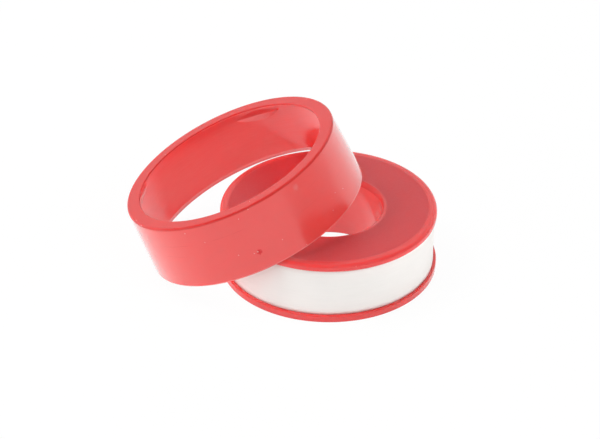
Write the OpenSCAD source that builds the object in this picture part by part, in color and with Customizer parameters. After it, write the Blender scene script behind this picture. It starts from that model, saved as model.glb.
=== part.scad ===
/* [Spool] */
// Outside diameter of both flanges (mm)
flange_diameter = 50; // [50:0.5:56]
// Thickness of each flange (mm)
flange_thickness = 1.65; // [1.4:0.05:2.2]
// Rounding of the upper flange's outer edge (mm)
flange_edge = 0.8; // [0.4:0.05:1]
// Rounding of the lower flange's edges at the table (mm)
foot_edge = 0.2; // [0.1:0.05:0.8]
// Rounding of the flange edge on the tape side (mm)
flange_inner_edge = 0.2; // [0.1:0.05:0.3]
// Diameter of the bore through the spool (mm)
bore_diameter = 24.6; // [22:0.1:25]
// Rounding of the bore at its upper mouth (mm)
bore_edge = 1; // [0.5:0.05:1.2]

/* [Hub joint] */
// Wall of the sleeve on the upper half (mm)
sleeve_wall = 1; // [0.8:0.05:1.2]
// Wall of the hub tube on the lower half (mm)
hub_wall = 1.1; // [0.8:0.05:1.3]
// Play between sleeve and hub (mm)
joint_play = 0.05; // [0.04:0.01:0.1]
// Height of the snap bead on the sleeve (mm)
bead_height = 0.2; // [0.1:0.05:0.25]
// Length of the flat crest of the snap bead (mm)
bead_crest = 0.4; // [0.3:0.05:0.6]
// Distance from the sleeve's end to the snap bead (mm)
bead_place = 1.5; // [1:0.1:4]

/* [Tape] */
// Width of the tape (mm)
tape_width = 12; // [10:0.5:19]
// Length of tape on the roll (m)
tape_length = 12; // [6:0.5:12.5]
// Thickness of the tape film (mm)
film = 0.1; // [0.075:0.005:0.1]
// Play between the tape and each neighbour (mm)
tape_play = 0.05; // [0.04:0.01:0.1]
// Step between the start and the free end of the outer turn, along the roll (mm)
end_gap = 0.6; // [0.5:0.1:3]
// Direction of the free end round the spool (degrees)
end_direction = 110; // [0:5:355]

/* [Cover ring] */
// Wall of the cover ring (mm)
cover_wall = 0.8; // [0.7:0.05:1.2]
// Radial play between flange and cover at the lip (mm)
cover_play = 0.15; // [0.1:0.05:0.4]
// Draft of the cover's wall (degrees)
cover_draft = 2; // [0.5:0.1:2.5]
// Thickness of the cover's lip (mm)
lip_thickness = 0.6; // [0.5:0.05:1]
// Reach of the lip over the flange (mm)
lip_reach = 2.3; // [1.5:0.1:4]
// Rounding of the cover's outer corner at the lip (mm)
lip_corner = 0.5; // [0.2:0.05:0.5]
// Part of the lower flange that the fitted cover leaves free (mm)
cover_reveal = 0.25; // [0:0.05:1]
// Width of the flat land on the open rim (mm)
rim_land = 0.35; // [0.25:0.05:0.5]
// Height of the lead-in inside the open rim (mm)
lead_in = 1.1; // [0.6:0.1:2]

/* [Snap lugs] */
// Number of snap lugs inside the cover
lug_count = 4; // [3:1:6]
// Reach of a lug's crest from the wall (mm)
lug_reach = 0.65; // [0.3:0.05:0.8]
// Depth of the crest below the fitted flange (mm)
lug_drop = 0.7; // [0.5:0.05:1]
// Height of the steep holding face (mm)
lug_face = 0.95; // [0.8:0.05:1.2]
// Height of the sloping lead-in face (mm)
lug_ramp = 1.85; // [1:0.05:3]
// Direction of the first lug from the ring's raised side (degrees)
lug_turn = -3.5; // [-45:0.5:45]

/* [Gate mark] */
// Diameter of the gate mark on the cover's wall (mm)
gate_diameter = 1.1; // [0.8:0.1:2]
// Depth of the gate mark (mm)
gate_depth = 0.12; // [0.08:0.02:0.2]
// Height of the gate mark above the open rim (mm)
gate_height = 4.5; // [3:0.25:10]
// Direction of the gate mark from the ring's raised side (degrees)
gate_turn = -74; // [-90:1:90]

/* [Leaning cover] */
// Direction round the flange, from the cover's low side, where the rim meets it (degrees)
seat_turn = 74.2; // [60:0.2:85]
// Slope of the flange's rounding where the rim meets it (degrees)
seat_slope = 60; // [45:1:75]
// Gap left between the leaning rim and the flange (mm)
seat_gap = 0.15; // [0.15:0.05:0.4]

/* [Output] */
// Piece to draw

/* [Hidden] */
$fn = 96;
steps = 6;
red = [0.84, 0.2, 0.2];
white = [0.95, 0.94, 0.93];
mm_per_m = 1000;

// Spool sizes
flange_r = flange_diameter / 2;
bore_r = bore_diameter / 2;
sleeve_r = bore_r + sleeve_wall;
socket_r = sleeve_r + joint_play;
hub_r = socket_r + hub_wall;
inside_width = tape_width + 2 * tape_play;
cap_under = flange_thickness + inside_width;
spool_height = cap_under + flange_thickness;
hub_top = cap_under - joint_play;
sleeve_end = flange_thickness + joint_play;
bead_low = sleeve_end + bead_place;
bead_high = bead_low + bead_crest + 2 * bead_height;

// Winding sizes
core_inner_r = hub_r + tape_play;
tape_r = sqrt(pow(core_inner_r, 2) + tape_length * mm_per_m * film / PI);
turn_inner_r = tape_r - 3 * film / 2;
core_r = turn_inner_r - tape_play;
tape_low = flange_thickness + tape_play;
end_angle = end_gap / tape_r * 180 / PI;

// Cover sizes
cover_height = spool_height + lip_thickness - cover_reveal;
cover_top_inner_r = flange_r + cover_play;
cover_top_r = cover_top_inner_r + cover_wall;
rim_r = cover_top_r + cover_height * tan(cover_draft);
rim_inner_r = rim_r - rim_land;
lip_hole_r = flange_r - lip_reach;
lip_under = cover_height - lip_thickness;
lug_crest = lip_under - flange_thickness - lug_drop;
crest_r = inner_r(lug_crest) - lug_reach;
gate_r = (pow(gate_diameter / 2, 2) + pow(gate_depth, 2)) / (2 * gate_depth);
gate_centre_r = outer_r(gate_height) + gate_r - gate_depth;

// Leaning pose: the rim stands on the table and passes just over the flange's rounding at two points
seat_r = flange_r - flange_edge + (flange_edge + seat_gap) * cos(seat_slope);
seat_z = spool_height - flange_edge + (flange_edge + seat_gap) * sin(seat_slope);
seat_along = sqrt(pow(rim_inner_r, 2) - pow(seat_r * sin(seat_turn), 2));
lean = asin(seat_z / (rim_r + seat_along));
rim_x = seat_along * cos(lean) + seat_r * cos(seat_turn);
rim_z = rim_r * sin(lean);

// Least gap of the outer turn to itself, measured between points on its two ends
turn_gap = min([for (a = turn_end_points()) for (b = turn_start_points()) norm(a - b)]);
echo(outer_turn_least_gap_to_itself = turn_gap);

// Radius of the cover's outer wall at a height
function outer_r(z) = cover_top_r + (cover_height - z) * tan(cover_draft);

// Radius of the cover's inner wall at a height
function inner_r(z) = outer_r(z) - cover_wall;

// Unit vector from one point to another
function heading(a, b) = (b - a) / norm(b - a);

// Points of an arc that rounds one corner of an outline
function corner_arc(before, at, after) =
    let (p = [at[0], at[1]])
    let (u = heading(p, [before[0], before[1]]))
    let (v = heading(p, [after[0], after[1]]))
    let (half = acos(u * v) / 2)
    let (run = at[2] / tan(half))
    let (middle = p + heading([0, 0], u + v) * at[2] / sin(half))
    let (first = p + u * run - middle)
    let (last = p + v * run - middle)
    let (turn = first[0] * last[1] - first[1] * last[0] > 0 ? 1 : -1)
    let (sweep = turn * (180 - 2 * half))
    [for (i = [0 : steps])
        let (a = sweep * i / steps)
        middle + [first[0] * cos(a) - first[1] * sin(a), first[0] * sin(a) + first[1] * cos(a)]];

// Outline from corners given as [radius from the axis, height, rounding]
function rounded(corners) =
    let (n = len(corners))
    [for (i = [0 : n - 1])
        each corners[i][2] > 0
            ? corner_arc(corners[(i + n - 1) % n], corners[i], corners[(i + 1) % n])
            : [[corners[i][0], corners[i][1]]]];

// Corners at the start of the outer turn
function turn_start_points() =
    [[turn_inner_r, 0], [turn_inner_r + film, 0]];

// Corners at the free end of the outer turn, half a film further out after each half turn
function turn_end_points() =
    [for (r = [turn_inner_r + film / 2, turn_inner_r + 3 * film / 2])
        [film / 2 + r * cos(end_angle), -r * sin(end_angle)]];

module spool_base() {
    color(red)
    rotate_extrude()
    polygon(rounded([
        [bore_r, 0, foot_edge],
        [flange_r, 0, foot_edge],
        [flange_r, flange_thickness, flange_inner_edge],
        [hub_r, flange_thickness, 0],
        [hub_r, hub_top, 0],
        [socket_r, hub_top, 0],
        [socket_r, bead_high + joint_play, 0],
        [socket_r + bead_height, bead_high - bead_height + joint_play, 0],
        [socket_r + bead_height, bead_low + bead_height - joint_play, 0],
        [socket_r, bead_low - joint_play, 0],
        [socket_r, flange_thickness, 0],
        [bore_r, flange_thickness, 0]
    ]));
}

module spool_cap() {
    color(red)
    rotate_extrude()
    polygon(rounded([
        [bore_r, sleeve_end, 0],
        [sleeve_r, sleeve_end, 0],
        [sleeve_r, bead_low, 0],
        [sleeve_r + bead_height, bead_low + bead_height, 0],
        [sleeve_r + bead_height, bead_high - bead_height, 0],
        [sleeve_r, bead_high, 0],
        [sleeve_r, cap_under, 0],
        [flange_r, cap_under, flange_inner_edge],
        [flange_r, spool_height, flange_edge],
        [bore_r, spool_height, bore_edge]
    ]));
}

module tape_core() {
    color(white)
    translate([0, 0, tape_low])
    difference() {
        cylinder(h = tape_width, r = core_r);
        translate([0, 0, -tape_width])
        cylinder(h = 3 * tape_width, r = core_inner_r);
    }
}

// Half a turn of film at one radius
module film_arc(inner, sweep) {
    rotate_extrude(angle = sweep)
    translate([inner, 0])
    square([film, tape_width]);
}

module tape_outer_turn() {
    color(white)
    rotate([0, 0, end_direction])
    translate([0, 0, tape_low])
    union() {
        film_arc(turn_inner_r, 180);
        translate([film / 2, 0, 0])
        rotate([0, 0, 180])
        film_arc(turn_inner_r + film / 2, 180 - end_angle);
    }
}

module cover_shell() {
    rotate_extrude()
    polygon(rounded([
        [rim_inner_r, 0, 0],
        [rim_r, 0, 0],
        [cover_top_r, cover_height, lip_corner],
        [lip_hole_r, cover_height, 0],
        [lip_hole_r, lip_under, 0],
        [inner_r(lip_under), lip_under, 0],
        [inner_r(lead_in), lead_in, 0]
    ]));
}

// Snap lug: a straight three-sided bar across the wall, trimmed inside the wall
module lug() {
    intersection() {
        rotate([90, 0, 0])
        linear_extrude(height = flange_r, center = true)
        polygon([
            [inner_r(lug_crest + lug_face), lug_crest + lug_face],
            [crest_r, lug_crest],
            [inner_r(lug_crest - lug_ramp), lug_crest - lug_ramp],
            [rim_r, lug_crest - lug_ramp],
            [rim_r, lug_crest + lug_face]
        ]);
        cylinder(h = cover_height, r = cover_top_inner_r + cover_wall / 2);
    }
}

module cover_upright() {
    difference() {
        union() {
            cover_shell();
            for (i = [0 : lug_count - 1])
                rotate([0, 0, lug_turn + 360 * i / lug_count])
                lug();
        }
        rotate([0, 0, gate_turn])
        translate([gate_centre_r, 0, gate_height])
        sphere(r = gate_r);
    }
}

module cover_ring() {
    color(red)
    translate([-rim_x, 0, rim_z])
    rotate([0, -lean, 0])
    cover_upright();
}

spool_base();
spool_cap();
tape_core();
tape_outer_turn();
cover_ring();
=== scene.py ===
import math

import bpy
from mathutils import Matrix, Vector, noise


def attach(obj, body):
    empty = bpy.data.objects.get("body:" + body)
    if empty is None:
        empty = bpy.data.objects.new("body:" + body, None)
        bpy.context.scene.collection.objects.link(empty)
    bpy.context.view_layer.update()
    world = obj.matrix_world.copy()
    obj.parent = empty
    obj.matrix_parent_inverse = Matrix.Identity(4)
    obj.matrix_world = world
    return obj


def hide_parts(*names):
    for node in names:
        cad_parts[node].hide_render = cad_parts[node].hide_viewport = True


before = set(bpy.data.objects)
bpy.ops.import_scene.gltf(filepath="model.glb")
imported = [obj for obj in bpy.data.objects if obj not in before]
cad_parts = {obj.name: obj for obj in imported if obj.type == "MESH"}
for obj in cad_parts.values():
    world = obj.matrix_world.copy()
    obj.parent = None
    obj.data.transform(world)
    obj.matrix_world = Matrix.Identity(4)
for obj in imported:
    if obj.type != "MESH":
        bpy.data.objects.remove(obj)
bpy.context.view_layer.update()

MM = 0.001

# Sizes in millimetres, the same values as the solids
FLANGE_R = 25.0
FLANGE_T = 1.65
FLANGE_EDGE = 0.8
FOOT_EDGE = 0.2
FLANGE_INNER_EDGE = 0.2
BORE_R = 12.3
BORE_EDGE = 1.0
SLEEVE_R = 13.3
SOCKET_R = 13.35
HUB_R = 14.45
JOINT_PLAY = 0.05
TAPE_W = 12.0
TAPE_R = 24.33
FILM = 0.1
TAPE_PLAY = 0.05
SPOOL_H = 2 * FLANGE_T + TAPE_W + 2 * TAPE_PLAY
TAPE_END = math.radians(110.0)

COVER_H = 15.75
COVER_TOP_R = 25.95
COVER_WALL = 0.8
DRAFT = math.tan(math.radians(2.0))
RIM_R = COVER_TOP_R + COVER_H * DRAFT
RIM_LAND = 0.35
LEAD_IN = 1.1
LIP_T = 0.6
LIP_HOLE_R = 22.7
LIP_CORNER = 0.5
LUG_COUNT = 4
LUG_TURN = -3.5
LUG_CREST = 12.8
LUG_FACE = 0.95
LUG_RAMP = 1.85
LUG_REACH = 0.65
GATE_TURN = -74.0
GATE_HEIGHT = 4.5
GATE_R = 0.55
GATE_DEPTH = 0.12
LEAN = 24.3129
RIM_X = 16.7058
RIM_Z = 10.9106

# Fine forms that the solids don't have, in millimetres
SEAM = 0.005
SHARP_EDGE = 0.05
SMALL_EDGE = 0.1
CROWN_REACH = 2.2
CROWN_DROP = 0.16
LIP_HOLE_EDGE = 0.3
RIM_EDGE = 0.06
LEAD_IN_EDGE = 0.08
OUTER_TURNS = 3
TURN_PITCH = 1.02 * FILM
FILM_WAVE = 0.012
FILM_EDGE_PULL = 0.03
CORE_GAP = 0.06
CORE_INSET = 0.02

# How close to a surface a point counts as lying on it, in millimetres
ON_SURFACE = 0.02


# Outlines

def rounded(corners, arc_steps=8, step=0.7):
    """Closed outline from (radius, height, rounding) corners, with points spaced along the straights.

    A point close to each end of a straight keeps the shading of the straight flat.
    """
    close = 0.03
    count = len(corners)
    parts = []
    for i, (x, y, size) in enumerate(corners):
        at = Vector((x, y))
        before = (Vector(corners[i - 1][:2]) - at).normalized()
        after = (Vector(corners[(i + 1) % count][:2]) - at).normalized()
        half = before.angle(after) / 2
        run = size / math.tan(half)
        middle = at + (before + after).normalized() * size / math.sin(half)
        first = at + before * run - middle
        last = at + after * run - middle
        sweep = first.angle_signed(last)
        arc = []
        for k in range(arc_steps + 1):
            turn = Matrix.Rotation(-sweep * k / arc_steps, 2)
            arc.append(middle + turn @ first)
        parts.append(arc)
    points = []
    for i, arc in enumerate(parts):
        points.extend(arc)
        start, end = arc[-1], parts[(i + 1) % count][0]
        gap = (end - start).length
        inner = max(1, math.ceil(gap / step))
        shares = [k / inner for k in range(1, inner)]
        if gap > 0.1:
            edge = min(close / gap, 0.2)
            shares = sorted([edge] + shares + [1 - edge])
        points.extend(start.lerp(end, s) for s in shares)
    return points


def revolve(name, outline, segments, shift=None):
    """Closed surface of revolution in millimetres; shift moves each point at (angle, radius, height).

    The UV map "lay" runs round the piece and along the outline, in metres.
    """
    rows = len(outline)
    verts = []
    for i in range(segments):
        a = 2 * math.pi * i / segments
        for r, z in outline:
            if shift:
                r, z = shift(a, r, z)
            verts.append((r * math.cos(a) * MM, r * math.sin(a) * MM, z * MM))
    faces = []
    for i in range(segments):
        j = (i + 1) % segments
        for k in range(rows):
            n = (k + 1) % rows
            faces.append((i * rows + k, j * rows + k, j * rows + n, i * rows + n))
    piece = new_piece(name, verts, faces)
    along = [0.0]
    for k in range(rows):
        along.append(along[-1] + (outline[(k + 1) % rows] - outline[k]).length * MM)
    round_step = 2 * math.pi * max(p.x for p in outline) * MM / segments
    lay = piece.data.uv_layers.new(name="lay").data
    for i in range(segments):
        for k in range(rows):
            corner = 4 * (i * rows + k)
            for c, (di, dk) in enumerate(((0, 0), (1, 0), (1, 1), (0, 1))):
                lay[corner + c].uv = ((i + di) * round_step, along[k + dk])
    return piece


def new_piece(name, verts, faces):
    mesh = bpy.data.meshes.new(name)
    mesh.from_pydata(verts, [], faces)
    mesh.validate()
    mesh.shade_smooth()
    piece = bpy.data.objects.new(name, mesh)
    bpy.context.scene.collection.objects.link(piece)
    return piece


# Materials

def linear(hex_colour):
    """sRGB hex to the linear colour that the shader takes."""
    out = []
    for i in (0, 2, 4):
        c = int(hex_colour[i:i + 2], 16) / 255
        out.append(c / 12.92 if c <= 0.04045 else ((c + 0.055) / 1.055) ** 2.4)
    return (*out, 1.0)


def add(tree, kind, links=None, **settings):
    """Adds a node: settings are attributes or input values, links are input name to output socket."""
    node = tree.nodes.new(kind)
    for key, value in settings.items():
        if hasattr(node, key):
            setattr(node, key, value)
        else:
            node.inputs[key.replace("_", " ")].default_value = value
    for key, socket in (links or {}).items():
        tree.links.new(socket, node.inputs[key])
    return node


def new_material(name):
    material = bpy.data.materials.new(name)
    material.use_nodes = True
    tree = material.node_tree
    return material, tree, tree.nodes["Principled BSDF"]


def moulded_polypropylene(name, colours, roughness, grain, depth):
    """Red polypropylene in its common base: slow shade changes, a surface grain of one size, and light
    that travels a little way into the wall, so thin walls glow red in the shade."""
    material, tree, shader = new_material(name)
    at = add(tree, "ShaderNodeTexCoord").outputs["Object"]
    flow = add(tree, "ShaderNodeTexNoise", {"Vector": at}, Scale=1 / (11 * MM), Detail=3.0)
    shade = add(tree, "ShaderNodeMix", {"Factor": flow.outputs["Fac"]}, data_type="RGBA")
    shade.inputs["A"].default_value = linear(colours[0])
    shade.inputs["B"].default_value = linear(colours[1])
    tree.links.new(shade.outputs["Result"], shader.inputs["Base Color"])
    pits = add(tree, "ShaderNodeTexNoise", {"Vector": at}, Scale=1 / (grain * MM), Detail=3.0)
    rough = add(tree, "ShaderNodeMapRange", {"Value": pits.outputs["Fac"]}, From_Min=0.3, From_Max=0.7,
                To_Min=roughness[0], To_Max=roughness[1])
    tree.links.new(rough.outputs["Result"], shader.inputs["Roughness"])
    bump = add(tree, "ShaderNodeBump", {"Height": pits.outputs["Fac"]}, Strength=0.35, Distance=depth * MM)
    tree.links.new(bump.outputs["Normal"], shader.inputs["Normal"])
    shader.inputs["IOR"].default_value = 1.49
    shader.inputs["Subsurface Weight"].default_value = 1.0
    shader.inputs["Subsurface Radius"].default_value = (1.0, 0.12, 0.1)
    shader.inputs["Subsurface Scale"].default_value = 0.2 * MM
    return material, tree, shader


def spot(tree, centre, inner, outer, ragged):
    """Mask that is 1 within inner and 0 beyond outer millimetres of a point, with a ragged edge."""
    at = add(tree, "ShaderNodeTexCoord").outputs["Object"]
    torn = add(tree, "ShaderNodeTexNoise", {"Vector": at}, Scale=1 / (0.5 * MM), Detail=2.0)
    edge = add(tree, "ShaderNodeVectorMath", {0: torn.outputs["Color"], 2: at}, operation="MULTIPLY_ADD")
    edge.inputs[1].default_value = [2 * ragged * MM] * 3
    away = add(tree, "ShaderNodeVectorMath", {0: edge.outputs["Vector"]}, operation="DISTANCE")
    away.inputs[1].default_value = [c + ragged * MM for c in centre]
    return add(tree, "ShaderNodeMapRange", {"Value": away.outputs["Value"]}, interpolation_type="SMOOTHSTEP",
               From_Min=inner * MM, From_Max=outer * MM, To_Min=1.0, To_Max=0.0).outputs["Result"]


def tint(tree, shader, mask, colour):
    """Lays a colour over the base colour where the mask is 1."""
    base = shader.inputs["Base Color"].links[0].from_socket
    over = add(tree, "ShaderNodeMix", {"Factor": mask, "A": base}, data_type="RGBA")
    over.inputs["B"].default_value = linear(colour)
    tree.links.new(over.outputs["Result"], shader.inputs["Base Color"])


# From a polished mould: glossy, so it mirrors the table and the spool, with faint flow waves and a few
# specks of dust. Real dust is about 0.05 mm; it is drawn at 0.2 mm so that it shows.
def polished_polypropylene(name, colours, coat):
    spacing, speck_share, empty_share = 1.6, 0.055, 0.5
    material, tree, shader = moulded_polypropylene(name, colours, (0.1, 0.2), 6.0, 0.04)
    at = add(tree, "ShaderNodeTexCoord").outputs["Object"]
    cells = add(tree, "ShaderNodeTexVoronoi", {"Vector": at}, Scale=1 / (spacing * MM))
    near = add(tree, "ShaderNodeMath", {0: cells.outputs["Distance"]}, operation="LESS_THAN")
    near.inputs[1].default_value = speck_share
    pick = add(tree, "ShaderNodeSeparateColor", {"Color": cells.outputs["Color"]})
    rare = add(tree, "ShaderNodeMath", {0: pick.outputs["Red"]}, operation="GREATER_THAN")
    rare.inputs[1].default_value = empty_share
    speck = add(tree, "ShaderNodeMath", {0: near.outputs["Value"], 1: rare.outputs["Value"]},
                operation="MULTIPLY")
    tint(tree, shader, speck.outputs["Value"], "f6cfc9")
    shader.inputs["Coat Weight"].default_value = coat
    shader.inputs["Coat Roughness"].default_value = 0.06
    return material, tree, shader


# From a turned and polished mould core: satin, with fine turned lines round it that break up what it
# mirrors. Real lines are about 0.1 mm apart; they are drawn at 0.3 mm so that they show.
def turned_polypropylene(name, colours, reach):
    line_length, line_pitch = 6.0, 0.3
    material, tree, shader = moulded_polypropylene(name, colours, (0.14, 0.2), 1.2, 0.02)
    lay = add(tree, "ShaderNodeUVMap", uv_map="lay")
    turned = add(tree, "ShaderNodeMapping", {"Vector": lay.outputs["UV"]})
    turned.inputs["Scale"].default_value = (1 / (line_length * MM), 1 / (line_pitch * MM), 1.0)
    lines = add(tree, "ShaderNodeTexNoise", {"Vector": turned.outputs["Vector"]}, Scale=1.0, Detail=2.0)
    # Painted highlight: the turned lines are drawn a paler red, as glints of what they mirror.
    painted_glint = add(tree, "ShaderNodeMapRange", {"Value": lines.outputs["Fac"]}, From_Min=0.35, From_Max=0.75,
                To_Max=0.09)
    tint(tree, shader, painted_glint.outputs["Result"], "ff9a94")
    below = shader.inputs["Normal"].links[0].from_socket
    bump = add(tree, "ShaderNodeBump", {"Height": lines.outputs["Fac"], "Normal": below}, Strength=0.7,
               Distance=0.05 * MM)
    tree.links.new(bump.outputs["Normal"], shader.inputs["Normal"])
    shader.inputs["Subsurface Scale"].default_value = reach * MM
    shader.inputs["Coat Weight"].default_value = 0.7
    shader.inputs["Coat Roughness"].default_value = 0.1
    return material


# From a spark-eroded mould face: the pits scatter the light, which greys the red, and fade out to a
# polished rim and mouth. Real pits are about 0.03 mm; they are drawn at 0.3 mm so that they show.
def spark_eroded_polypropylene(name, colours, rim_sheen_colour):
    material, tree, shader = moulded_polypropylene(name, colours, (0.42, 0.62), 0.3, 0.05)
    at = add(tree, "ShaderNodeTexCoord").outputs["Object"]
    axes = add(tree, "ShaderNodeSeparateXYZ", {"Vector": at})
    flat = add(tree, "ShaderNodeCombineXYZ", {"X": axes.outputs["X"], "Y": axes.outputs["Y"]})
    away = add(tree, "ShaderNodeVectorMath", {0: flat.outputs["Vector"]}, operation="LENGTH")
    rim = add(tree, "ShaderNodeMapRange", {"Value": away.outputs["Value"]}, interpolation_type="SMOOTHSTEP",
              From_Min=(FLANGE_R - CROWN_REACH) * MM, From_Max=(FLANGE_R - 0.65 * CROWN_REACH) * MM)
    mouth = add(tree, "ShaderNodeMapRange", {"Value": away.outputs["Value"]},
                interpolation_type="SMOOTHSTEP", From_Min=(BORE_R + 0.8 * BORE_EDGE) * MM,
                From_Max=(BORE_R + 1.4 * BORE_EDGE) * MM, To_Min=1.0, To_Max=0.0)
    polish_and_sheen = add(tree, "ShaderNodeMath", {0: rim.outputs["Result"], 1: mouth.outputs["Result"]},
                 operation="MAXIMUM").outputs["Value"]
    # Painted sheen: the polished rim and mouth are drawn a paler red than the face; their lower roughness is
    # real.
    tint(tree, shader, polish_and_sheen, rim_sheen_colour)
    pitted = shader.inputs["Roughness"].links[0].from_socket
    rough = add(tree, "ShaderNodeMix", {"Factor": polish_and_sheen, "A": pitted}, B=0.16)
    tree.links.new(rough.outputs["Result"], shader.inputs["Roughness"])
    shader.inputs["Coat Weight"].default_value = 0.6
    shader.inputs["Coat Roughness"].default_value = 0.5
    return material


# Unsintered PTFE film, calendered: soft satin white with fine streaks along its length.
# Real streaks are about 0.1 mm apart; they are drawn at 0.4 mm so that they show.
def calendered_ptfe(name):
    streak_length, streak_pitch = 8.0, 0.4
    material, tree, shader = new_material(name)
    at = add(tree, "ShaderNodeTexCoord").outputs["Object"]
    axes = add(tree, "ShaderNodeSeparateXYZ", {"Vector": at})
    angle = add(tree, "ShaderNodeMath", {0: axes.outputs["Y"], 1: axes.outputs["X"]}, operation="ARCTAN2")
    along = add(tree, "ShaderNodeMath", {0: angle.outputs["Value"]}, operation="MULTIPLY")
    along.inputs[1].default_value = TAPE_R / streak_length
    across = add(tree, "ShaderNodeMath", {0: axes.outputs["Z"]}, operation="MULTIPLY")
    across.inputs[1].default_value = 1 / (streak_pitch * MM)
    laid = add(tree, "ShaderNodeCombineXYZ", {"X": along.outputs["Value"], "Y": across.outputs["Value"]})
    streak = add(tree, "ShaderNodeTexNoise", {"Vector": laid.outputs["Vector"]}, Scale=1.0, Detail=3.0)
    shade = add(tree, "ShaderNodeMix", {"Factor": streak.outputs["Fac"]}, data_type="RGBA")
    shade.inputs["A"].default_value = linear("f2f0ed")
    shade.inputs["B"].default_value = linear("f8f6f3")
    tree.links.new(shade.outputs["Result"], shader.inputs["Base Color"])
    rough = add(tree, "ShaderNodeMapRange", {"Value": streak.outputs["Fac"]}, To_Min=0.45, To_Max=0.62)
    tree.links.new(rough.outputs["Result"], shader.inputs["Roughness"])
    bump = add(tree, "ShaderNodeBump", {"Height": streak.outputs["Fac"]}, Strength=0.3, Distance=0.03 * MM)
    tree.links.new(bump.outputs["Normal"], shader.inputs["Normal"])
    shader.inputs["IOR"].default_value = 1.38
    return material


# Spool halves

def spool_lower_half():
    hub_top = FLANGE_T + TAPE_W + 2 * TAPE_PLAY - JOINT_PLAY
    outline = rounded([
        (BORE_R, 0, FOOT_EDGE),
        (FLANGE_R, 0, FOOT_EDGE),
        (FLANGE_R, FLANGE_T, FLANGE_INNER_EDGE),
        (HUB_R, FLANGE_T, SMALL_EDGE),
        (HUB_R, hub_top, SMALL_EDGE),
        (SOCKET_R, hub_top, SMALL_EDGE),
        (SOCKET_R, FLANGE_T, SMALL_EDGE),
        (BORE_R, FLANGE_T, SEAM),
    ])
    return revolve("spool_lower_half", outline, 360)


def crown(a, r, z):
    """The upper face falls away a little towards its rim."""
    over = max(0.0, r - FLANGE_R + CROWN_REACH) / CROWN_REACH
    share = max(0.0, 1 - (SPOOL_H - z) / (FLANGE_T - FLANGE_INNER_EDGE))
    return r, z - CROWN_DROP * over ** 2 * share


def spool_upper_half():
    sleeve_end = FLANGE_T + SEAM
    under = SPOOL_H - FLANGE_T
    outline = rounded([
        (BORE_R, sleeve_end, SEAM),
        (SLEEVE_R, sleeve_end, SMALL_EDGE),
        (SLEEVE_R, under, SMALL_EDGE),
        (FLANGE_R, under, FLANGE_INNER_EDGE),
        (FLANGE_R, SPOOL_H, FLANGE_EDGE),
        (BORE_R, SPOOL_H, BORE_EDGE),
    ])
    return revolve("spool_upper_half", outline, 360, crown)


def paint_spool(piece, height, edge, polished, matt, satin):
    """The face and its edge at the bore are matt (painted shade), the bore satin (painted light), the rest
    polished.
    """
    for material in (polished, matt, satin):
        piece.data.materials.append(material)
    for face in piece.data.polygons:
        r = math.hypot(face.center.x, face.center.y) / MM
        depth = abs(face.center.z / MM - height)
        level = abs(face.normal.z) > 0.98
        if depth < edge and (r < BORE_R + edge or level):
            face.material_index = 1
        elif r < BORE_R + ON_SURFACE:
            face.material_index = 2


# Tape

def wound_tape():
    """Outer turns of the film, wound as one strip that ends on the far side, over the inner turns."""
    low = FLANGE_T + TAPE_PLAY
    steps = 240
    across = 14
    waves_round, waves_across = 0.25, 0.2
    flat_share = 0.85
    verts, faces = [], []
    total = OUTER_TURNS * steps
    for i in range(total + 1):
        a = TAPE_END - 2 * math.pi * (total - i) / steps
        base = TAPE_R - TURN_PITCH * (total - i) / steps
        for side in (0, 1):
            for k in range(across + 1):
                s = k / across
                z = low + TAPE_W * s
                x, y = base * math.cos(a), base * math.sin(a)
                swell = FILM_WAVE * noise.noise(Vector((x * waves_round, y * waves_round, z * waves_across)))
                to_edge = max(0.0, abs(2 * s - 1) - flat_share) / (1 - flat_share)
                soft = FILM_EDGE_PULL * to_edge ** 2
                r = base - (0 if side else FILM) + swell - soft
                verts.append((r * math.cos(a) * MM, r * math.sin(a) * MM, z * MM))
    row = 2 * (across + 1)
    loop = list(range(across + 1)) + list(range(row - 1, across, -1))
    for i in range(total):
        for k in range(row):
            n = (k + 1) % row
            here, there = i * row, (i + 1) * row
            faces.append((here + loop[k], here + loop[n], there + loop[n], there + loop[k]))
    faces.append(tuple(loop[::-1]))
    faces.append(tuple(total * row + v for v in loop))
    strip = new_piece("tape_outer_turns", verts, faces)

    core_r = TAPE_R - OUTER_TURNS * TURN_PITCH - FILM - CORE_GAP
    corners = rounded([
        (HUB_R + TAPE_PLAY, low + CORE_INSET, SHARP_EDGE),
        (core_r, low + CORE_INSET, SHARP_EDGE),
        (core_r, low + TAPE_W - CORE_INSET, SHARP_EDGE),
        (HUB_R + TAPE_PLAY, low + TAPE_W - CORE_INSET, SHARP_EDGE),
    ], step=0.25)
    core = revolve("tape_inner_turns", corners, 180)
    return strip, core


# Cover ring

def cover_inner_r(z):
    return COVER_TOP_R + (COVER_H - z) * DRAFT - COVER_WALL


def lug_plane(z):
    """Distance of a lug's face from the ring's axis at a height, along the lug's direction."""
    crest = cover_inner_r(LUG_CREST) - LUG_REACH
    if z >= LUG_CREST:
        share = (z - LUG_CREST) / LUG_FACE
        return crest + share * (cover_inner_r(LUG_CREST + LUG_FACE) - crest)
    share = (LUG_CREST - z) / LUG_RAMP
    return crest + share * (cover_inner_r(LUG_CREST - LUG_RAMP) - crest)


def soft_min(a, b, blend):
    """The smaller of two lengths, rounded where they are about the same."""
    h = max(blend - abs(a - b), 0.0) / blend
    return min(a, b) - h * h * blend / 4


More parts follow.
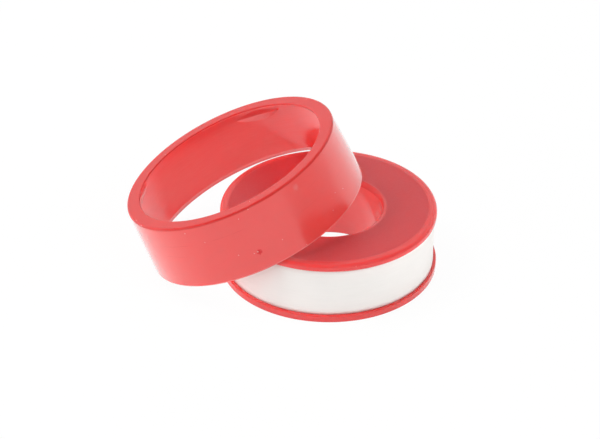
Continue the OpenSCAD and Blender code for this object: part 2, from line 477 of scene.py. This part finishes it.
def cover_shift(a, r, z):
    """Catch lugs on the inner wall and the gate mark on the outer wall."""
    beyond, lug_half_turn, blend = 0.2, 0.5, 0.03
    inner = cover_inner_r(z)
    at_lugs = LUG_CREST - LUG_RAMP - beyond < z < LUG_CREST + LUG_FACE + beyond
    if at_lugs and abs(r - inner) < ON_SURFACE:
        for i in range(LUG_COUNT):
            off = a - math.radians(LUG_TURN + 360 * i / LUG_COUNT)
            off = (off + math.pi) % (2 * math.pi) - math.pi
            if abs(off) < lug_half_turn:
                r = soft_min(r, lug_plane(z) / math.cos(off), blend)
    if abs(r - inner - COVER_WALL) < ON_SURFACE:
        off = (a - math.radians(GATE_TURN) + math.pi) % (2 * math.pi) - math.pi
        d = math.hypot(off * r, z - GATE_HEIGHT)
        r -= GATE_DEPTH * max(0.0, 1 - (d / GATE_R) ** 2)
    return r, z


LEANED = Matrix.Translation((-RIM_X * MM, 0, RIM_Z * MM)) @ Matrix.Rotation(math.radians(-LEAN), 4, "Y")


def on_wall(turn, z):
    """Point of the cover's outer wall at a direction and a height on the ring, in metres."""
    r = cover_inner_r(z) + COVER_WALL
    a = math.radians(turn)
    return LEANED @ (Vector((r * math.cos(a), r * math.sin(a), z)) * MM)


# The wall's polish, with a few hairline scratches, a painted highlight along the rim's edge, the dull scar
# of the gate and a pale knock near the top.
def cover_wall_polypropylene(name, colours):
    scratch_length, scratch_pitch, scratch_width_share = 400.0, 6.0, 0.003
    rim_glint_middle, rim_glint_half = RIM_LAND + 0.1, 0.15
    material, tree, shader = polished_polypropylene(name, colours, 1.0)
    lay = add(tree, "ShaderNodeUVMap", uv_map="lay").outputs["UV"]
    laid = add(tree, "ShaderNodeMapping", {"Vector": lay}, Rotation=(0, 0, 1.1))
    laid.inputs["Scale"].default_value = (1 / (scratch_length * MM), 1 / (scratch_pitch * MM), 1.0)
    drift = add(tree, "ShaderNodeTexNoise", {"Vector": laid.outputs["Vector"]}, Scale=1.0, Detail=0.0)
    line = add(tree, "ShaderNodeMath", {0: drift.outputs["Fac"]}, operation="COMPARE")
    line.inputs[1].default_value = 0.5
    line.inputs[2].default_value = scratch_width_share
    patch = add(tree, "ShaderNodeTexNoise", {"Vector": lay}, Scale=1 / (9 * MM))
    few = add(tree, "ShaderNodeMapRange", {"Value": patch.outputs["Fac"]}, From_Min=0.5, From_Max=0.6,
              To_Max=0.4)
    scratch = add(tree, "ShaderNodeMath", {0: line.outputs["Value"], 1: few.outputs["Result"]},
                  operation="MULTIPLY")
    tint(tree, shader, scratch.outputs["Value"], "c82c2c")
    # Painted highlight: a pale line along the rim's edge, as if the edge caught a lamp.
    height = add(tree, "ShaderNodeSeparateXYZ", {"Vector": lay}).outputs["Y"]
    rim = add(tree, "ShaderNodeMath", {0: height}, operation="COMPARE")
    rim.inputs[1].default_value = rim_glint_middle * MM
    rim.inputs[2].default_value = rim_glint_half * MM
    painted_rim_glint = add(tree, "ShaderNodeMath", {0: rim.outputs["Value"], 1: patch.outputs["Fac"]},
                 operation="MULTIPLY")
    tint(tree, shader, painted_rim_glint.outputs["Value"], "f2958f")
    scar = spot(tree, on_wall(GATE_TURN, GATE_HEIGHT), 0.4, 0.7, 0.6)
    tint(tree, shader, scar, "d8141a")
    gloss = add(tree, "ShaderNodeMapRange", {"Value": scar}, To_Min=1.0, To_Max=0.0)
    tree.links.new(gloss.outputs["Result"], shader.inputs["Coat Weight"])
    tint(tree, shader, spot(tree, on_wall(GATE_TURN - 0.9, GATE_HEIGHT + 0.3), 0.05, 0.25, 0.4), "f4a39c")
    tint(tree, shader, spot(tree, on_wall(-43.0, COVER_H - 2.2), 0.1, 1.0, 0.4), "ec6c66")
    return material


def cover_ring(wall, lip, inside):
    under = COVER_H - LIP_T
    corners = [
        (RIM_R - RIM_LAND, 0, SHARP_EDGE),
        (RIM_R, 0, RIM_EDGE),
        (COVER_TOP_R, COVER_H, LIP_CORNER),
        (LIP_HOLE_R, COVER_H, LIP_HOLE_EDGE),
        (LIP_HOLE_R, under, SHARP_EDGE),
        (cover_inner_r(under), under, SMALL_EDGE),
        (cover_inner_r(LEAD_IN), LEAD_IN, LEAD_IN_EDGE),
    ]
    outline = rounded(corners, 7, 0.6)
    beyond_lug, lug_rows = 0.6, 6
    beyond_gate, gate_rows = 1.3, 5
    fine = []
    for i, p in enumerate(outline):
        q = outline[(i + 1) % len(outline)]
        fine.append(p)
        inner_wall = all(abs(end.x - cover_inner_r(end.y)) < ON_SURFACE for end in (p, q))
        outer_wall = p.x > cover_inner_r(p.y) + COVER_WALL / 2
        at_lugs = LUG_CREST - LUG_RAMP - beyond_lug < p.y < LUG_CREST + LUG_FACE + beyond_lug
        at_gate = abs(p.y - GATE_HEIGHT) < beyond_gate
        if inner_wall and at_lugs and (q - p).length > 0.2:
            fine.extend(p.lerp(q, k / lug_rows) for k in range(1, lug_rows))
        elif outer_wall and at_gate:
            fine.extend(p.lerp(q, k / gate_rows) for k in range(1, gate_rows))
    ring = revolve("cover_ring_moulding", fine, 550, cover_shift)
    for material in (wall, lip, inside):
        ring.data.materials.append(material)
    for face in ring.data.polygons:
        r, z = math.hypot(face.center.x, face.center.y) / MM, face.center.z / MM
        in_hole = r < LIP_HOLE_R + ON_SURFACE / 2
        on_lip = z > COVER_H - LIP_CORNER
        on_inner_wall = not on_lip and r < cover_inner_r(z) + COVER_WALL / 4
        if in_hole or on_inner_wall:
            face.material_index = 2
        elif on_lip:
            face.material_index = 1
    ring.data.transform(LEANED)
    return ring


polished_red = polished_polypropylene("polypropylene_polished_red", ("ea4c4c", "ef5251"), 0.25)[0]
cover_red = cover_wall_polypropylene("polypropylene_polished_cover_red", ("ea4a47", "ef504c"))
# Painted shade: the lip gets a darker red than the cover's wall, to hold it down under the light from above.
lip_red_painted_shade = polished_polypropylene("polypropylene_polished_lip_red_painted_shade", ("d23836", "d73c3a"), 0.0)[0]
# Painted light: the bore gets a paler red than the rest of the spool, to lift the shade in the bore.
bore_red_painted_light = turned_polypropylene("polypropylene_turned_bore_red_painted_light", ("fe6766", "ff6f6e"), 0.1)
# Painted light: the ring's inside gets a paler red than its outer wall, to lift the shade inside the ring.
inside_red_painted_light = turned_polypropylene("polypropylene_turned_inside_red_painted_light", ("fe6160", "ff6968"), 0.9)
# Partly painted shade: the flange faces get a darker, greyer red than the polished parts; part is the real
# greying of the pits and part is painted shade under the light from above.
matt_red_painted_shade = spark_eroded_polypropylene("polypropylene_spark_eroded_red_painted_shade", ("c83e42", "cf4548"), "e24b4a")
film_white = calendered_ptfe("ptfe_calendered_white")

lower = spool_lower_half()
paint_spool(lower, 0, FOOT_EDGE, polished_red, matt_red_painted_shade, bore_red_painted_light)
upper = spool_upper_half()
paint_spool(upper, SPOOL_H, BORE_EDGE, polished_red, matt_red_painted_shade, bore_red_painted_light)
strip, core = wound_tape()
for piece in (strip, core):
    piece.data.materials.append(film_white)
ring = cover_ring(cover_red, lip_red_painted_shade, inside_red_painted_light)

for piece, body, nodes, slot in (
    (lower, "spool", ["spool_base"], "spool_red"),
    (upper, "spool", ["spool_cap"], "spool_red"),
    (strip, "spool", ["tape_outer_turn"], "tape_white"),
    (core, "spool", ["tape_core"], "tape_white"),
    (ring, "cover", ["cover_ring"], "cover_red"),
):
    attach(piece, body)
    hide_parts(*nodes)


# Stage: white table, white surround, dark card and soft boxes

def white_table():
    half = 1.5
    corners = [(-half, -half, 0), (half, -half, 0), (half, half, 0), (-half, half, 0)]
    table = new_piece("white_table", corners, [(0, 1, 2, 3)])
    table.location.z = -0.05 * MM
    material, tree, shader = new_material("white_card")
    shader.inputs["Base Color"].default_value = linear("fafaf9")
    shader.inputs["Roughness"].default_value = 0.9
    path = add(tree, "ShaderNodeLightPath")
    seen = path.outputs["Is Camera Ray"]
    for ray in ("Is Glossy Ray", "Is Transmission Ray"):
        either = add(tree, "ShaderNodeMath", {0: seen, 1: path.outputs[ray]}, operation="MAXIMUM")
        seen = either.outputs["Value"]
    part = add(tree, "ShaderNodeMath", {0: seen}, operation="MULTIPLY")
    part.inputs[1].default_value = 0.96
    glow = add(tree, "ShaderNodeEmission", Strength=1.0)
    mixed = add(tree, "ShaderNodeMixShader",
                {0: part.outputs["Value"], 1: shader.outputs["BSDF"], 2: glow.outputs["Emission"]})
    tree.links.new(mixed.outputs["Shader"], tree.nodes["Material Output"].inputs["Surface"])
    table.data.materials.append(material)


def white_surround():
    """White behind the table; in the gloss it is dim overhead, in front and at the right, as in a studio."""
    world = bpy.data.worlds.new("white_surround")
    world.use_nodes = True
    tree = world.node_tree
    ground = tree.nodes["Background"]
    ground.inputs["Color"].default_value = linear("ffffff")
    ahead = add(tree, "ShaderNodeTexCoord").outputs["Generated"]
    way = add(tree, "ShaderNodeSeparateXYZ", {"Vector": ahead})
    front = add(tree, "ShaderNodeMapRange", {"Value": way.outputs["Y"]}, From_Min=-1.0, From_Max=1.0,
                To_Min=1.7, To_Max=0.3)
    up = add(tree, "ShaderNodeMath", {0: way.outputs["Z"], 1: front.outputs["Result"]}, operation="MULTIPLY")
    side = add(tree, "ShaderNodeMapRange", {"Value": way.outputs["X"]}, From_Min=0.3, From_Max=1.0,
               To_Min=1.0, To_Max=0.7)
    dim = add(tree, "ShaderNodeValToRGB", {"Fac": up.outputs["Value"]})
    stops = dim.color_ramp.elements
    stops[0].position, stops[0].color = 0.0, (1.0, 1.0, 1.0, 1.0)
    stops[1].position, stops[1].color = 0.55, (0.12, 0.12, 0.12, 1.0)
    for place, level in ((0.05, 0.8), (0.25, 0.8)):
        stops.new(place).color = (level, level, level, 1.0)
    path = add(tree, "ShaderNodeLightPath")
    seen = add(tree, "ShaderNodeMath",
               {0: path.outputs["Is Glossy Ray"], 1: path.outputs["Is Transmission Ray"]},
               operation="MAXIMUM")
    share = add(tree, "ShaderNodeMapRange",
                {"Value": seen.outputs["Value"], "To Max": side.outputs["Result"]}, To_Min=0.02)
    lit = add(tree, "ShaderNodeMath", {0: dim.outputs["Color"], 1: share.outputs["Result"]},
              operation="MULTIPLY")
    level = add(tree, "ShaderNodeMath", {0: lit.outputs["Value"], 1: path.outputs["Is Camera Ray"]},
                operation="MAXIMUM")
    tree.links.new(level.outputs["Value"], ground.inputs["Strength"])
    bpy.context.scene.world = world


def dark_card():
    """Low rounded card on the table at the right, which only the gloss sees, low on the cover's wall."""
    distance, centre, half_width, height = 0.2, -0.03, 0.13, 0.028
    steps = 24
    verts = []
    for k in range(steps + 1):
        t = math.pi * k / steps
        verts.append((distance, half_width * math.cos(t) + centre, height * math.sin(t)))
    card = new_piece("dark_card", verts, [tuple(range(steps + 1))])
    material, _, shader = new_material("dark_card")
    shader.inputs["Base Color"].default_value = linear("3a2020")
    shader.inputs["Roughness"].default_value = 0.9
    card.data.materials.append(material)
    card.visible_camera = card.visible_diffuse = card.visible_shadow = False


def soft_box(name, place, power):
    """Square soft box that faces the object, in metres and watts. The gloss doesn't see it."""
    size, middle = 0.6, Vector((-0.01, 0, 0.015))
    lamp = bpy.data.lights.new(name, "AREA")
    lamp.shape = "SQUARE"
    lamp.size = size
    lamp.energy = power
    lamp_object = bpy.data.objects.new(name, lamp)
    lamp_object.location = place
    lamp_object.visible_glossy = False
    aim = middle - Vector(place)
    lamp_object.rotation_euler = aim.to_track_quat("-Z", "Y").to_euler()
    bpy.context.scene.collection.objects.link(lamp_object)


white_table()
white_surround()
dark_card()
soft_box("soft_box_left", (-0.95, 0.0, 0.22), 2.3)
soft_box("soft_box_left_front", (-0.75, -0.6, 0.22), 3.65)
soft_box("soft_box_left_high", (-0.6, -0.3, 0.7), 1.2)
soft_box("soft_box_top_left", (-0.5, 0.02, 0.95), 7.2)
soft_box("soft_box_right", (0.95, 0.0, 0.22), 3.9)
soft_box("soft_box_right_high", (0.6, -0.45, 0.7), 3.9)
soft_box("soft_box_back", (0.0, 0.9, 0.4), 2.6)


# Camera at the photograph's angle: a long lens, 33 degrees above the table

def photo_camera():
    lens = bpy.data.cameras.new("photo_camera")
    lens.sensor_width = 36.0
    lens.lens = 192.0
    camera = bpy.data.objects.new("photo_camera", lens)
    rise = math.radians(32.952)
    turn = Matrix.Rotation(math.radians(8.639), 3, "Z")
    across, above, distance = -6.59, 9.74, 744.997
    right = turn @ Vector((1, 0, 0))
    forward = turn @ Vector((0, math.cos(rise), -math.sin(rise)))
    up = turn @ Vector((0, math.sin(rise), math.cos(rise)))
    place = (across * right + above * up - distance * forward) * MM
    facing = Matrix((right, up, -forward)).transposed().to_4x4()
    camera.matrix_world = Matrix.Translation(place) @ facing
    bpy.context.scene.collection.objects.link(camera)
    bpy.context.scene.camera = camera


photo_camera()
bpy.context.scene.view_settings.view_transform = "Standard"
